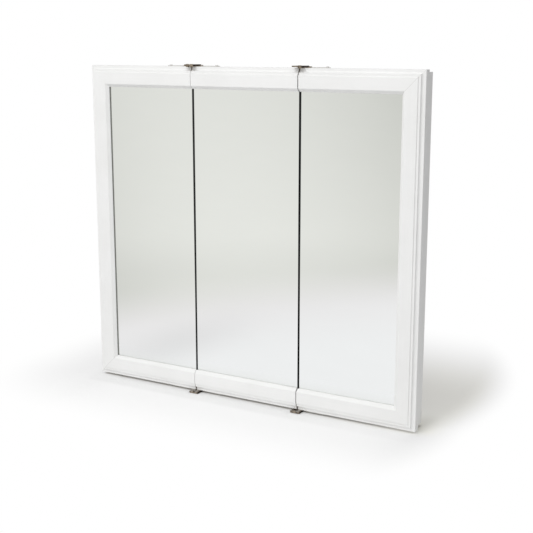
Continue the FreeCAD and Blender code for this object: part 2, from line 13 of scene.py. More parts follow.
import bpy
import bmesh
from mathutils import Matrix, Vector


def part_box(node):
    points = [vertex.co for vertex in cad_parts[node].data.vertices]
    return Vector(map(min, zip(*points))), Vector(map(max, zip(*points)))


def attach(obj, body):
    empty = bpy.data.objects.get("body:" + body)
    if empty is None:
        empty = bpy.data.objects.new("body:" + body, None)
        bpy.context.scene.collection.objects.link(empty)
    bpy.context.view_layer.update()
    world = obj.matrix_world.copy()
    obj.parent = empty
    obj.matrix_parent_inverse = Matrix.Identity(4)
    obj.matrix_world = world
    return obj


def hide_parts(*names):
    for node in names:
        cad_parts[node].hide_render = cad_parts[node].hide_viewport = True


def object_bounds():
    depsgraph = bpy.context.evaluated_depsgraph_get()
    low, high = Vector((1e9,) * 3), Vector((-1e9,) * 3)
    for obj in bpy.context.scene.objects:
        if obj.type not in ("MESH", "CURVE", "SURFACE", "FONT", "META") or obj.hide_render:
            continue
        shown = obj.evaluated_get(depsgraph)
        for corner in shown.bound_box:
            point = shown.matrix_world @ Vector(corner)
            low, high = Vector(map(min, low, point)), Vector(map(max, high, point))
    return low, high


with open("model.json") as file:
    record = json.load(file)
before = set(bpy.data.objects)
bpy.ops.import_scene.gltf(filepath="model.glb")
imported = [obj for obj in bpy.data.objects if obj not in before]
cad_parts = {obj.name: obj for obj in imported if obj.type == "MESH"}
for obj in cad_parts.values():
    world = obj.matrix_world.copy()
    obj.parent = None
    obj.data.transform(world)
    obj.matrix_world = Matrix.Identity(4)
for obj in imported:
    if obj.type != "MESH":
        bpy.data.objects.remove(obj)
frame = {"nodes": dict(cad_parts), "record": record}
built_low, built_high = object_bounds()
nodes = frame["nodes"]
slot_of = {part["node"]: part["material_slot"] for part in frame["record"]["subparts"]}
MM = 0.001
print("pieces:", len(nodes), "box in mm:", [round(side / MM, 1) for side in built_high - built_low])

# %% [markdown]
# ## The camera
# The picture was taken from the right of the doors and a little above them. Four corners of the face,
# read off the picture and set against the known face size, fix where such a camera stands. A 70 mm lens
# is then the one that makes the far side of the face shorter by the right amount, and nothing needs to be
# shifted.

# %% Place the camera
camera_place = Vector((1.07266, -1.88797, 0.39021))
camera_turn = math.radians(29.9488)
camera_dip = math.radians(12.1938)
lens_length = 70.0
sensor_side = 36.0

camera_data = bpy.data.cameras.new("camera")
camera_data.lens = lens_length
camera_data.sensor_width = sensor_side
camera = bpy.data.objects.new("camera", camera_data)
bpy.context.scene.collection.objects.link(camera)
sight = Vector((
    -math.sin(camera_turn) * math.cos(camera_dip),
    math.cos(camera_turn) * math.cos(camera_dip),
    -math.sin(camera_dip),
))
camera.location = camera_place
camera.rotation_mode = "QUATERNION"
camera.rotation_quaternion = sight.to_track_quat("-Z", "Y")
bpy.context.scene.camera = camera
bpy.context.scene.view_settings.view_transform = "Standard"
print("camera", round(camera_place.length, 2), "m from the middle of the rear face")

# %% [markdown]
# ## Sums that become nodes
# A finish is a small machine of nodes, and most of them only add, multiply or compare. Wiring those by
# hand hides the idea, so a Wire stands for one output and turns ordinary Python sums into Math nodes. The
# reflected forms let a plain number stand on the left, as in 1 - mask.

# %% Wire, one output socket
class Wire:
    """One output socket of a node tree. Sums on it add Math nodes to that tree."""

    def __init__(self, recipe, socket):
        self.recipe = recipe
        self.socket = socket

    def combine(self, operation, first, second):
        return self.recipe.node("ShaderNodeMath", {"operation": operation}, {0: first, 1: second})

    def __add__(self, other):
        return self.combine("ADD", self, other)

    def __radd__(self, other):
        return self.combine("ADD", other, self)

    def __sub__(self, other):
        return self.combine("SUBTRACT", self, other)

    def __rsub__(self, other):
        return self.combine("SUBTRACT", other, self)

    def __mul__(self, other):
        return self.combine("MULTIPLY", self, other)

    def __rmul__(self, other):
        return self.combine("MULTIPLY", other, self)

    def __truediv__(self, other):
        return self.combine("DIVIDE", self, other)

    def __rtruediv__(self, other):
        return self.combine("DIVIDE", other, self)

    def __abs__(self):
        return self.combine("ABSOLUTE", self, 0.0)


# %% [markdown]
# A Recipe is the whole tree of one finish. Its node method makes any node: the settings go in first,
# because they can change which sockets exist, and then the values or wires. The other methods are the few
# mixtures that the finishes below share, measured in metres on the piece itself, so that they move with a
# door as it swings.

# %% Recipe, one node tree
SOCKETS = {
    "base_color": "Base Color",
    "metallic": "Metallic",
    "roughness": "Roughness",
    "normal": "Normal",
    "specular_ior_level": "Specular IOR Level",
}


class Recipe:
    """The node tree of a material or of the world, with the mixtures that the finishes share."""

    def __init__(self, owner):
        owner.use_nodes = True
        self.owner = owner
        self.tree = owner.node_tree
        self.shader = self.tree.nodes.get("Principled BSDF")

    def node(self, kind, settings=None, sockets=None, output=0):
        made = self.tree.nodes.new(kind)
        for name, value in (settings or {}).items():
            setattr(made, name, value)
        for name, value in (sockets or {}).items():
            self.feed(made.inputs[name], value)
        return Wire(self, made.outputs[output])

    def feed(self, socket, value):
        if isinstance(value, Wire):
            self.tree.links.new(value.socket, socket)
        else:
            socket.default_value = value

    def surface(self, **sockets):
        for name, value in sockets.items():
            self.feed(self.shader.inputs[SOCKETS[name]], value)

    def place(self):
        return self.node("ShaderNodeTexCoord", output="Object")

    def axes(self, place):
        split = self.node("ShaderNodeSeparateXYZ", sockets={0: place})
        return [Wire(self, socket) for socket in split.socket.node.outputs]

    def speckle(self, place, scale, detail, roughness=0.5):
        values = {"Vector": place, "Scale": scale, "Detail": detail, "Roughness": roughness}
        return self.node("ShaderNodeTexNoise", {}, values)

    def streaks(self, place, scales, detail, roughness):
        # Noise with a scale of its own along each axis
        settings = {"operation": "MULTIPLY"}
        stretched = self.node("ShaderNodeVectorMath", settings, {0: place, 1: scales})
        return self.speckle(stretched, 1.0, detail, roughness)

    def most(self, first, second):
        return self.node("ShaderNodeMath", {"operation": "MAXIMUM"}, {0: first, 1: second})

    def length(self, first, second):
        flat = self.node("ShaderNodeCombineXYZ", sockets={0: first, 1: second})
        return self.node("ShaderNodeVectorMath", {"operation": "LENGTH"}, {0: flat}, "Value")

    def ramp(self, value, start, end):
        settings = {"interpolation_type": "SMOOTHSTEP"}
        values = {"Value": value, "From Min": start, "From Max": end}
        return self.node("ShaderNodeMapRange", settings, values)

    def colour(self, share, first, second):
        # Sockets 6 and 7 of a Mix node take its two colours, and output 2 gives the mixture
        return self.node("ShaderNodeMix", {"data_type": "RGBA"}, {0: share, 6: first, 7: second}, 2)

    def bumped(self, height, depth, strength):
        values = {"Height": height, "Distance": depth, "Strength": strength}
        return self.node("ShaderNodeBump", {}, values, "Normal")


print("helpers ready: Wire for sums, Recipe for nodes")

# %% [markdown]
# ## The floor
# The cabinet stands on a wide white sweep. A plain white floor under soft lamps comes out pale grey, and
# more light would burn the cabinet out. So what the camera sees of the floor is part lit paper, which
# keeps the shadow, and part even white. The next cells work out how large the even share is at each spot.

# %% Lay the floor
floor_half = 40.0


def flat_sheet(name, half, height):
    mesh = bpy.data.meshes.new(name)
    corners = [(-half, -half, height), (half, -half, height), (half, half, height), (-half, half, height)]
    mesh.from_pydata(corners, [], [(0, 1, 2, 3)])
    made = bpy.data.objects.new(name, mesh)
    bpy.context.scene.collection.objects.link(made)
    return made


floor = flat_sheet("floor", floor_half, built_low.z)
paper = Recipe(bpy.data.materials.new("paper_sweep"))
across, forward, _ = paper.axes(paper.place())
print("floor at", round(built_low.z / MM, 1), "mm, under the hinge rivets")

# %% [markdown]
# The even share grows with the distance from the cabinet's foot, and each direction has its own reach.
# Behind the foot the growth starts late and is slow, because the shadow is long there. At the right it is
# fast, and the shadow has a rounded side.

# %% Measure the distance from the foot
foot_half = built_high.x
foot_back = built_high.y
foot_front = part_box("centre_door_bottom_rail")[0].y + 6.0 * MM
reach_right = 0.114
reach_left = 0.269
reach_back = 0.557
reach_front = 0.275
back_start = foot_back + 0.104
round_front = foot_back - 0.062
round_middle = foot_back + 0.116
round_rate = 0.508

from_middle = paper.most(forward, round_front) - round_middle
right_side = foot_half - round_rate * from_middle * from_middle
to_right = paper.most((across - right_side) / reach_right, 0.0)
to_left = paper.most((across + foot_half) / -reach_left, 0.0)
to_back = paper.most((forward - back_start) / reach_back, 0.0)
to_front = paper.most((forward - foot_front) / -reach_front, 0.0)
away = paper.length(to_right + to_left, to_back + to_front)
print("front of the foot at", round(foot_front / MM, 2), "mm")

# %% [markdown]
# In a strip along the front of the foot the even share is small, which leaves a soft contact shadow. The
# strip eases off toward the right. In the gap just under the moulding there is almost no even white, so
# that gap stays dark, and so does a small pocket under the right end.

# %% Darken the strip, the gap and the pocket
case_edge = (0.4 * foot_front, 0.8 * foot_front)
contact_edge = (foot_front - 0.0543, foot_front - 0.0372)
contact_ends = (foot_half + 0.030, foot_half - 0.060)
contact_easing = 0.62
contact_side = (foot_half - 0.331, foot_half - 0.081)
tuck_edge = (foot_front + 0.5 * MM, foot_front + 4.0 * MM)
tuck_ends = (foot_half, foot_half - 8.0 * MM)
tuck_left = 0.85
tuck_right = 0.52
tuck_side = (foot_half - 0.281, foot_half - 0.021)
pocket_place = Vector((foot_half - 0.011, foot_back - 0.072))
pocket_reach = Vector((4.0 * MM, 10.0 * MM))
pocket_edge = (1.6, 0.5)

before_case = paper.ramp(forward, *case_edge)
contact = before_case * paper.ramp(forward, *contact_edge) * paper.ramp(abs(across), *contact_ends)
contact = contact * (1.0 - contact_easing * paper.ramp(across, *contact_side))
tucked = before_case * paper.ramp(forward, *tuck_edge) * paper.ramp(abs(across), *tuck_ends)
tucked = tucked * (tuck_left + (tuck_right - tuck_left) * paper.ramp(across, *tuck_side))
pocket_across = (across - pocket_place.x) / pocket_reach.x
pocket_forward = (forward - pocket_place.y) / pocket_reach.y
from_pocket = paper.length(pocket_across, pocket_forward)
tucked = paper.most(tucked, paper.ramp(from_pocket, *pocket_edge))
print("pocket", round((foot_half - pocket_place.x) / MM, 1), "mm in from the right end")

# %% [markdown]
# Close to the foot the share starts from a fixed value, a little higher at the left end and lower round
# the pocket. In the gap and the pocket the paper's colour is a painted shade of warm grey, and in the
# shadow at the right it is a painted warm shade.

# %% Share out the even white
floor_white = (0.885, 0.885, 0.885, 1.0)
floor_gap_shade = (0.72, 0.70, 0.65, 1.0)
floor_warm_shade = (0.92, 0.905, 0.775, 1.0)
near_share = 0.42
left_lift = 0.146
left_end = (0.030 - foot_half, -0.030 - foot_half)
halo_depth = 0.12
halo_edge = (10.0, 1.0)
share_edge = (0.03, 0.954)
warm_shade_side = (foot_half - 0.281, foot_half - 0.081)
warm_shade_front = (foot_back - 0.130, foot_back - 0.080)
warm_shade_reach = (0.75, 0.25)

near = near_share + left_lift * paper.ramp(across, *left_end)
near = near - halo_depth * paper.ramp(from_pocket, *halo_edge)
even_share = near + (1.0 - near) * paper.ramp(away, *share_edge)
even_share = even_share * (1.0 - tucked) * (1.0 - contact * (1.0 - tucked))
# painted shade: in the shadow at the right the paper's colour turns warm
warm_shade = paper.ramp(across, *warm_shade_side) * paper.ramp(forward, *warm_shade_front)
warm_shade = warm_shade * paper.ramp(away, *warm_shade_reach)
paper_colour = paper.colour(warm_shade, floor_white, floor_warm_shade)
# painted shade: in the gap under the moulding and round the pocket the paper's colour turns warm grey
paper_colour = paper.colour(tucked, paper_colour, floor_gap_shade)
print("even share beside the foot", near_share)

# %% [markdown]
# ## What the mirrors see
# A mirror shows what stands in front of it: here the front of the sweep, then its soft edge, then a dim
# and faintly green studio. The rays in the mirrors fan out from one point, as far behind the silver as
# the camera is in front of it. Seen from that point, each spot of floor has a bearing to the side and a
# dip below level, and those two numbers place the tones.

# %% Find bearing and dip
silver_cover = 0.5 * MM
silver_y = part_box("centre_door_mirror")[1].y - silver_cover
fan_point = Vector((camera_place.x, 2.0 * silver_y - camera_place.y))
fan_height = camera_place.z - built_low.z

fan_side = across - fan_point.x
fan_depth = forward - fan_point.y
bearing = fan_side / fan_depth
dip = fan_height / paper.length(fan_side, fan_depth)
print("fan point", round(fan_point.y, 3), "m behind,", round(fan_height, 3), "m above the floor")

# %% [markdown]
# The studio gets lighter with the dip, and dimmer to both sides of its lightest bearing and just before
# the paper starts. The paper gets lighter toward the cabinet, and a faint darker streak crosses it at the
# left. The edges of the paper tones lean: they start at a larger dip where the bearing is larger.

# %% Paint the studio and the paper
studio_light = (0.880, 0.878, 0.8485, 1.0)
studio_dim = (0.667, 0.668, 0.637, 1.0)
paper_dim = (0.907, 0.880, 0.896, 1.0)
paper_light = (0.965, 0.964, 0.982, 1.0)
no_light = (0.0, 0.0, 0.0, 1.0)
light_bearing = 0.6685
light_lean = 0.30
dim_start = 0.271
dim_by_dip = 1.60
dim_by_side = 13.3
dim_at_paper = 0.327
dim_edge = (0.1762, 0.2282)
paper_bearing = 0.424
paper_lean = 0.0733
paper_edge = (0.2074, 0.2577)
near_lean = 0.102
near_edge = (0.2154, 0.3012)
streak_lean = 0.163
streak_dip = 0.2483
streak_half = 0.0312
streak_bearing = 0.704
streak_reach = 0.154
streak_depth = 0.094

off_light = bearing - light_bearing + light_lean * dip
dimming = dim_start - dim_by_dip * dip + dim_by_side * off_light * off_light
dimming = dimming + dim_at_paper * paper.ramp(dip, *dim_edge)
studio = paper.colour(dimming, studio_light, studio_dim)
aside = bearing - paper_bearing
sweep = paper.colour(paper.ramp(dip - near_lean * aside, *near_edge), paper_dim, paper_light)
streak = paper.ramp(abs(dip - streak_dip - streak_lean * aside), streak_half, 0.0)
streak = streak * paper.ramp(abs(bearing - streak_bearing), streak_reach, 0.0)
sweep = paper.colour(streak_depth * streak, sweep, no_light)
on_paper = paper.ramp(dip - paper_lean * aside, *paper_edge)
reflected = paper.colour(on_paper, studio, sweep)
print("lightest studio at bearing", light_bearing, "and paper from dip", paper_edge[0])

# %% [markdown]
# Camera rays see the shares worked out above, and mirror rays see the painted view on the floor in front.
# For the light that the floor throws back up there is one more helper: beside the right end, out of sight
# of the camera and the mirrors, a round patch is partly even white, as if a white card lay there. It
# lifts the lower part of the cabinet's side.

# %% Finish the floor
even_white = (1.0, 1.0, 1.0, 1.0)
mirrored_floor = (foot_back - 0.150, foot_back - 0.300)
card_place = Vector((foot_half + 0.219, foot_back))
card_reach = (0.35, 0.15)
card_share = 0.50

from_card = paper.length(across - card_place.x, forward - card_place.y)
thrown = card_share * paper.ramp(from_card, *card_reach)
path = paper.node("ShaderNodeLightPath").socket.node.outputs
from_camera = Wire(paper, path["Is Camera Ray"])
in_gloss = Wire(paper, path["Is Glossy Ray"])
through_glass = Wire(paper, path["Is Transmission Ray"])
in_mirror = in_gloss * paper.ramp(forward, *mirrored_floor)
glow_colour = paper.colour(in_mirror, even_white, reflected)
glow = paper.node("ShaderNodeEmission", {}, {"Color": glow_colour, "Strength": 1.0})
lit = paper.node("ShaderNodeBsdfDiffuse", {}, {"Color": paper_colour})
seen = paper.most(paper.most(from_camera, in_gloss), through_glass)
share = paper.most(even_share, in_mirror)
glowing = seen * share + (1.0 - seen) * thrown
whole = paper.node("ShaderNodeMixShader", {}, {0: glowing, 1: lit, 2: glow})
paper.feed(paper.tree.nodes["Material Output"].inputs["Surface"], whole)
floor.data.materials.append(paper.owner)
print("floor nodes:", len(paper.tree.nodes))

# %% [markdown]
# ## The light
# The picture was lit softly from in front. One large square lamp hangs there, high and a little to the
# left, so the shadow falls behind the cabinet and a little to the right. A small lamp would draw that
# shadow with a hard edge.

# %% Hang the lamp
lamp_place = Vector((-0.25, -2.05, 1.85))
lamp_target = Vector((0.0, -0.1, 0.0))
lamp_side = 1.3
lamp_power = 27.0

lamp_data = bpy.data.lights.new("soft_lamp", "AREA")
lamp_data.shape = "SQUARE"
lamp_data.size = lamp_side
lamp_data.energy = lamp_power
lamp = bpy.data.objects.new("soft_lamp", lamp_data)
lamp.location = lamp_place
lamp.rotation_euler = (lamp_target - lamp_place).to_track_quat("-Z", "Y").to_euler()
bpy.context.scene.collection.objects.link(lamp)
print("lamp", lamp_power, "W,", round((lamp_target - lamp_place).length, 2), "m away")

# %% [markdown]
# The rest of the light is a dome, bright on the camera's side and dim behind, as in a studio with white
# screens in front. The camera sees the dome as white, while it lights the cabinet at a lower level: that
# keeps white paint below pure white, with room for the moulding's lights and darks.

# %% Set the dome
dome_front = (0.81, 0.81, 0.81, 1.0)
dome_back = (0.152, 0.152, 0.152, 1.0)
dome_gloss = (0.80, 0.80, 0.80, 1.0)
dome_turn = 0.6
dome_axis = Vector((0.30, 0.954))

dome = Recipe(bpy.data.worlds.new("dome"))
bpy.context.scene.world = dome.owner
rays = dome.node("ShaderNodeLightPath").socket.node.outputs
to_camera = Wire(dome, rays["Is Camera Ray"])
to_gloss = Wire(dome, rays["Is Glossy Ray"])
toward_right, toward_wall, _ = dome.axes(dome.node("ShaderNodeTexCoord", output="Generated"))
rearward = toward_right * dome_axis.x + toward_wall * dome_axis.y
fill = dome.colour(dome.ramp(rearward, dome_turn, -dome_turn), dome_back, dome_front)
around = dome.colour(to_camera, dome.colour(to_gloss, fill, dome_gloss), even_white)
dome.feed(dome.tree.nodes["Background"].inputs["Color"], around)
print("dome", dome_front[0], "in front,", dome_back[0], "behind")

# %% [markdown]
# ## Broken edges
# No edge on the real cabinet is perfectly sharp: paint rounds it, sanding breaks it, stamping rolls it.
# Rounding the solids themselves would make every piece heavy. A Bevel modifier gives each edge a narrow
# band that catches light, and leaves the built mesh as it is. The loaded meshes are split along their
# sharp edges, so a Weld comes first, and the weighted normals at the end keep the flats flat. Screws,
# rivets and pins are too small for it.

# %% Break the edges
break_angle = math.radians(32.0)
break_segments = 2
weld_reach = 0.002 * MM
edge_breaks = {
    "white_paint": 0.35 * MM,
    "white_board": 0.30 * MM,
    "hinge_nickel": 0.12 * MM,
    "bright_steel": 0.10 * MM,
    "catch_plastic": 0.20 * MM,
    "backing_board": 0.20 * MM,
}
fine_hardware = ("_screws", "_rivets", "_pins")


def break_edges(piece, width):
    weld = piece.modifiers.new("weld", "WELD")
    weld.merge_threshold = weld_reach
    bevel = piece.modifiers.new("edge", "BEVEL")
    bevel.width = width
    bevel.segments = break_segments
    bevel.limit_method = "ANGLE"
    bevel.angle_limit = break_angle
    bevel.use_clamp_overlap = True
    bevel.harden_normals = True
    level = piece.modifiers.new("level", "WEIGHTED_NORMAL")
    level.keep_sharp = True


broken = [name for name in nodes if slot_of[name] in edge_breaks and not name.endswith(fine_hardware)]
for name in broken:
    break_edges(nodes[name], edge_breaks[slot_of[name]])
print("edges broken on", len(broken), "pieces")

# %% [markdown]
# ## White paint
# The mouldings and the collar are wood, sprayed with satin white. Seen close, sprayed paint has a skin of
# tiny soft bumps, and the grain below telegraphs as long faint ridges. Both are noise: fine and even for
# the skin, and stretched along the piece for the grain.
#
# At a mitre the paint cracks a little, and since a mitre runs at 45 degrees from each corner of the face,
# it is where a point is as far from the side as from the top or bottom. The joints at the upper right and
# the lower left have opened most, and the other two hardly show. At the ends of the seams between the
# doors, by the hinges, the paint is made darker.

# %% Mix the white paint
paint_light = (0.875, 0.875, 0.868, 1.0)
paint_dull = (0.845, 0.845, 0.835, 1.0)
crack_grey = (0.60, 0.59, 0.57, 1.0)
seam_end_dark = (0.24, 0.215, 0.19, 1.0)
skin_scale = 620.0
skin_depth = 0.10 * MM
cloud_scale = 11.0
cloud_edge = (0.36, 0.64)
paint_matt = 0.30
face_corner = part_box("right_door_stile")[1]
moulding_back = (face_corner.y + 0.2 * MM, face_corner.y)
mitre_offset = face_corner.x - face_corner.z
corner_sum = face_corner.x + face_corner.z
open_corner = (corner_sum - 0.374, corner_sum - 0.074)
crack_width = (0.42 * MM, 0.16 * MM)
shut_crack = 0.12
seam_x = (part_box("left_door_backing_board")[1].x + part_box("centre_door_backing_board")[0].x) / -2.0
seam_end_width = (2.8 * MM, 0.8 * MM)
seam_end_height = (11.0 * MM, 5.0 * MM)


def white_paint(name, grain_scales):
    paint = Recipe(bpy.data.materials.new(name))
    place = paint.place()
    skin = paint.speckle(place, skin_scale, detail=1.5)
    grain = paint.streaks(place, grain_scales, detail=3.0, roughness=0.6)
    cloud = paint.speckle(place, cloud_scale, detail=3.0)
    x, y, z = paint.axes(place)
    crack = paint.ramp(abs(abs(x) - abs(z) - mitre_offset), *crack_width)
    crack = crack * (shut_crack + (1.0 - shut_crack) * paint.ramp(abs(x + z), *open_corner))
    crack = crack * paint.ramp(y, *moulding_back)
    # the paint is made darker at the top and bottom ends of the seams, by the hinges
    seam_end_darkening = paint.ramp(abs(abs(x) - seam_x), *seam_end_width)
    seam_end_darkening = seam_end_darkening * paint.ramp(face_corner.z - abs(z), *seam_end_height)
    coat = paint.colour(paint.ramp(cloud * 0.7 + grain * 0.3, *cloud_edge), paint_dull, paint_light)
    coat = paint.colour(seam_end_darkening, coat, seam_end_dark)
    paint.surface(
        base_color=paint.colour(crack, coat, crack_grey),
        roughness=paint_matt + 0.14 * skin + 0.06 * cloud,
        normal=paint.bumped(0.55 * skin + 0.45 * grain, skin_depth, strength=0.5),
    )
    return paint.owner


print("seams at", round(seam_x / MM, 1), "mm left and right of the middle")

# %% [markdown]
# The rails run sideways and the stiles upright, so the grain direction is a choice when the paint is
# made. A small helper then gives a finish to every piece of a list.

# %% Paint the mouldings and the collar
grain_across = 260.0
grain_along = 7.0


def dress(names, finish):
    for name in names:
        holder = nodes[name].data.materials
        holder.clear()
        holder.append(finish)
    return len(names)


painted = [name for name in nodes if slot_of[name] == "white_paint"]
upright = [name for name in painted if name.endswith(("_stile", "collar_left", "collar_right"))]
level_pieces = [name for name in painted if name not in upright]
dressed = dress(upright, white_paint("white_paint_upright", (grain_across, grain_across, grain_along)))
dressed += dress(level_pieces, white_paint("white_paint_level", (grain_along, grain_across, grain_across)))
print("painted pieces:", dressed)

# %% [markdown]
# ## White foil board
# The case and shelves are particle board wrapped in white foil. Foil is smoother than paint, but it is
# pressed on a textured roller, so it has a fine pebble. A cellular texture with soft cell walls gives
# that pebble, and a little cloudiness keeps a wide panel from looking like plastic sheet.

# %% Wrap the boards
foil_light = (0.86, 0.86, 0.85, 1.0)
foil_dull = (0.83, 0.83, 0.815, 1.0)
foil_matt = 0.42
foil_cloud_scale = 6.0
foil_cloud_edge = (0.35, 0.65)
pebble_scale = 1100.0
pebble_depth = 0.05 * MM

foil = Recipe(bpy.data.materials.new("white_foil"))
foil_place = foil.place()
pebble_values = {"Vector": foil_place, "Scale": pebble_scale}
pebble = foil.node("ShaderNodeTexVoronoi", {"feature": "SMOOTH_F1"}, pebble_values)
foil_cloud = foil.speckle(foil_place, foil_cloud_scale, detail=3.0)
foil.surface(
    base_color=foil.colour(foil.ramp(foil_cloud, *foil_cloud_edge), foil_dull, foil_light),
    roughness=foil_matt + 0.12 * pebble,
    normal=foil.bumped(pebble, pebble_depth, strength=0.6),
)
boards = [name for name in nodes if slot_of[name] == "white_board"]
print("foil boards:", dress(boards, foil.owner))

# %% [markdown]
# ## Hardboard back
# The back panel is thin hardboard. Inside the cabinet it shows its smooth face, painted white. Against
# the wall it shows the raw side, brown and printed by the wire screen that it was pressed on. Two crossed
# sine ridges, one across and one up, make that screen, and the depth of a point in the panel tells the
# two faces apart.

# %% Press the hardboard
screen_pitch = 1.6 * MM
screen_turns = 2.0 * math.pi / screen_pitch
screen_depth = 0.25 * MM
fibre_dark = (0.185, 0.105, 0.058, 1.0)
fibre_pale = (0.315, 0.195, 0.112, 1.0)
fibre_scales = (340.0, 340.0, 90.0)
fibre_edge = (0.3, 0.72)
blotch_scale = 14.0
panel_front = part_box("back_panel")[0].y
paint_edge = (panel_front + 0.1 * MM, panel_front + 0.3 * MM)
panel_matt = 0.40

hardboard = Recipe(bpy.data.materials.new("hardboard"))
panel_place = hardboard.place()
panel_x, panel_y, panel_z = hardboard.axes(panel_place)
ridge_x = hardboard.node("ShaderNodeMath", {"operation": "SINE"}, {0: panel_x * screen_turns})
ridge_z = hardboard.node("ShaderNodeMath", {"operation": "SINE"}, {0: panel_z * screen_turns})
screen = 0.5 + 0.25 * (ridge_x + ridge_z)
fibres = hardboard.streaks(panel_place, fibre_scales, detail=4.0, roughness=0.65)
blotch = hardboard.speckle(panel_place, blotch_scale, detail=3.0)
raw_side = hardboard.ramp(panel_y, *paint_edge)
browning = hardboard.ramp(0.55 * fibres + 0.25 * blotch + 0.20 * screen, *fibre_edge)
raw = hardboard.colour(browning, fibre_dark, fibre_pale)
hardboard.surface(
    base_color=hardboard.colour(raw_side, foil_light, raw),
    roughness=panel_matt + 0.38 * raw_side,
    normal=hardboard.bumped((0.7 * screen + 0.3 * fibres) * raw_side, screen_depth, strength=0.8),
)
print("hardboard pieces:", dress(["back_panel"], hardboard.owner))

# %% [markdown]
# ## Fibreboard behind the mirrors
# Each mirror lies against a fibreboard panel, held by screws into the moulding. Fibreboard is an even tan
# with short fibres in it. Fine noise gives the fibres and coarse noise the shade, while a wood texture
# would show a grain that fibreboard doesn't have. Where two doors meet, the board's front edge is painted
# black, a painted shade for the shadowed gap between the doors, so that the joint between the mirrors
# reads as one dark line, as it does in the picture.

# %% Cut the fibreboard
board_tan = (0.42, 0.315, 0.215, 1.0)
board_pale = (0.52, 0.405, 0.285, 1.0)
painted_seam_shade = (0.012, 0.013, 0.012, 1.0)
short_scale = 420.0
short_depth = 0.12 * MM
shade_scale = 9.0
shade_edge = (0.34, 0.66)
board_matt = 0.72
board_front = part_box("left_door_backing_board")[0].y
seam_shade_width = (3.0 * MM, 3.6 * MM)
seam_shade_depth = (6.0 * MM, 6.6 * MM)

fibreboard = Recipe(bpy.data.materials.new("fibreboard"))
board_place = fibreboard.place()
board_x, board_y, _ = fibreboard.axes(board_place)
short_fibres = fibreboard.speckle(board_place, short_scale, detail=5.0, roughness=0.7)
shade = fibreboard.speckle(board_place, shade_scale, detail=3.0)
paling = fibreboard.ramp(0.65 * short_fibres + 0.35 * shade, *shade_edge)
tan = fibreboard.colour(paling, board_tan, board_pale)
# painted shade: the board's front edge at the seams is black, standing for the shadowed gap
off_seam = fibreboard.ramp(abs(abs(board_x) - seam_x), *seam_shade_width)
off_front = fibreboard.ramp(board_y - board_front, *seam_shade_depth)
unshaded_board = fibreboard.most(off_seam, off_front)
fibreboard.surface(
    base_color=fibreboard.colour(unshaded_board, painted_seam_shade, tan),
    roughness=board_matt + 0.12 * short_fibres,
    normal=fibreboard.bumped(short_fibres, short_depth, strength=0.6),
)
panels = [name for name in nodes if slot_of[name] == "backing_board"]
print("fibreboard panels:", dress(panels, fibreboard.owner))

# %% [markdown]
# ## Plated metal
# The hinges, catches and screws are steel with a thin plating. Metal has no colour of its own in the
# shade: it shows its surroundings, tinted, so what matters is the tint, how sharp the reflection is, and
# the faint lines left by rolling and handling. One function makes every plating, with its tint, polish
# and line direction. Its polish is a roughness, so a small number is a high polish. The straps are brown
# plating with bright flecks, and their dark tint is nearly black, a painted reflection of dark
# surroundings. The leaves near the seams take the same tint, partly as wear and partly as painted shade
# under the straps, in full on the top hinges and about half on the bottom ones. The long sides of the
# straps are painted nearly black, a painted shade.

# %% Mix the plating
# brown plating; the dark tint is nearly black, a painted reflection of dark surroundings
strap_bright = (0.52, 0.44, 0.345, 1.0)
strap_brown_and_dark_reflection = (0.070, 0.050, 0.037, 1.0)
# painted shade for the long sides of the straps
strap_side_shade = (0.030, 0.022, 0.017, 1.0)
strap_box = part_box("left_top_hinge_strap")
strap_half = (strap_box[1].x - strap_box[0].x) / 2.0
side_shade_depth = (0.7 * MM, 0.3 * MM)
wear_and_shade_reach = (28.0 * MM, 18.0 * MM)
wear_and_shade_height = (-0.1, 0.1)
low_wear_and_shade = 0.52
bloom_scale = 160.0
mottle_edge = (0.34, 0.66)
line_depth = 0.02 * MM


def plated(name, dull, bright, polish, line_scales):
    metal = Recipe(bpy.data.materials.new(name))
    place = metal.place()
    lines = metal.streaks(place, line_scales, detail=4.0, roughness=0.7)
    bloom = metal.speckle(place, bloom_scale, detail=4.0, roughness=0.6)
    mottle = metal.ramp(0.6 * bloom + 0.4 * lines, *mottle_edge)
    tint = metal.colour(mottle, dull, bright)
    x, _, z = metal.axes(place)
    from_seam = abs(abs(x) - seam_x)
    if name == "hinge_nickel":
        # partly wear, partly painted shade: leaves by the seams take the strap's tint, in full on the top
        # hinges, about half on the bottom
        worn_and_shaded = metal.colour(mottle, strap_brown_and_dark_reflection, strap_bright)
        wear_and_shade = low_wear_and_shade + (1.0 - low_wear_and_shade) * metal.ramp(z, *wear_and_shade_height)
        tint = metal.colour(metal.ramp(from_seam, *wear_and_shade_reach) * wear_and_shade, tint, worn_and_shaded)
    if name == "strap_nickel":
        # painted shade: the strap's long sides are nearly black
        tint = metal.colour(metal.ramp(strap_half - from_seam, *side_shade_depth), tint, strap_side_shade)
    metal.surface(
        base_color=tint,
        metallic=1.0,
        roughness=polish + 0.18 * bloom + 0.10 * lines,
        normal=metal.bumped(lines, line_depth, strength=0.5),
    )
    return metal.owner


print("straps are", round(2.0 * strap_half / MM, 1), "mm wide")

# %% [markdown]
# Nickel goes on the hinges and the shelf pins, bright zinc on the plates of the catches, and a duller
# zinc on the other screws and the nails. Each row holds the dull and the bright tint, how rough the metal
# is, and the scale of the lines along the three axes. The straps get their own plating last.

